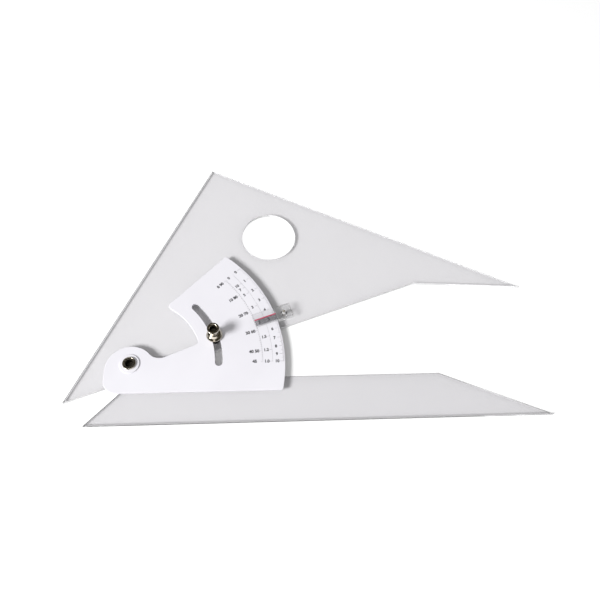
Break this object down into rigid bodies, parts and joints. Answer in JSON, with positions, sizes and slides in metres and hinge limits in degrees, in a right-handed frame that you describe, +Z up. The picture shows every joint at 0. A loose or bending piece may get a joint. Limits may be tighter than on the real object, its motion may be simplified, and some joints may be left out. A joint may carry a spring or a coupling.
{
  "type": "adjustable set square",
  "caption": "Clear adjustable drafting triangle: blade and triangle pivoted under a white slotted quadrant plate with a clamp nut and a scale reading window.",
  "frame": {"origin": "on the pivot axis, at the level of the paper under the set square", "axes": "+X along the blade's long guide edge, away from the pivot; +Y from the guide edge towards the triangle; +Z up from the paper"},
  "size_m": [0.3213, 0.2049, 0.0172],
  "materials": {
    "acrylic": "clear polished acrylic sheet",
    "white_plastic": "smooth white satin",
    "nylon": "plain white nylon",
    "nickel": "bright nickel plate",
    "ink_black": "thin printed ink",
    "ink_red": "red paint in an engraved line"
  },
  "bodies": {
    "base": {"blade": "acrylic", "quadrant_plate": "white_plastic", "pivot_stud": "nickel", "pivot_bush": "nickel", "pivot_washer": "nylon", "pivot_top_washer": "white_plastic", "pivot_nut": "nickel", "plate_screw_1": "nickel", "plate_screw_2": "nickel", "plate_screw_3": "nickel"},
    "swing": {"triangle": "acrylic", "clamp_stud": "nickel", "cursor_block": "acrylic", "cursor_window": "acrylic", "cursor_screw": "nickel"},
    "clamp_lifter": {"clamp_washer": "nickel"},
    "clamp_turner": {"clamp_nut": "nickel"}
  },
  "joints": [
    {"name": "triangle_swing", "type": "hinge", "parent": "base", "child": "swing", "pos_m": [0, 0, 0], "axis": [0, 0, 1], "range_deg": [-19.5, 25.5]},
    {"name": "clamp_lift", "type": "slide", "parent": "swing", "child": "clamp_lifter", "axis": [0, 0, 1], "range_m": [0, 0.00105]},
    {"name": "clamp_turn", "type": "hinge", "parent": "clamp_lifter", "child": "clamp_turner", "pos_m": [0.05543, 0.01963, 0], "axis": [0, 0, 1], "range_deg": [0, 541.5]}
  ],
  "couplings": [
    {"joint": "clamp_turn", "follows": "clamp_lift", "rad_per_m": 8976}
  ]
}
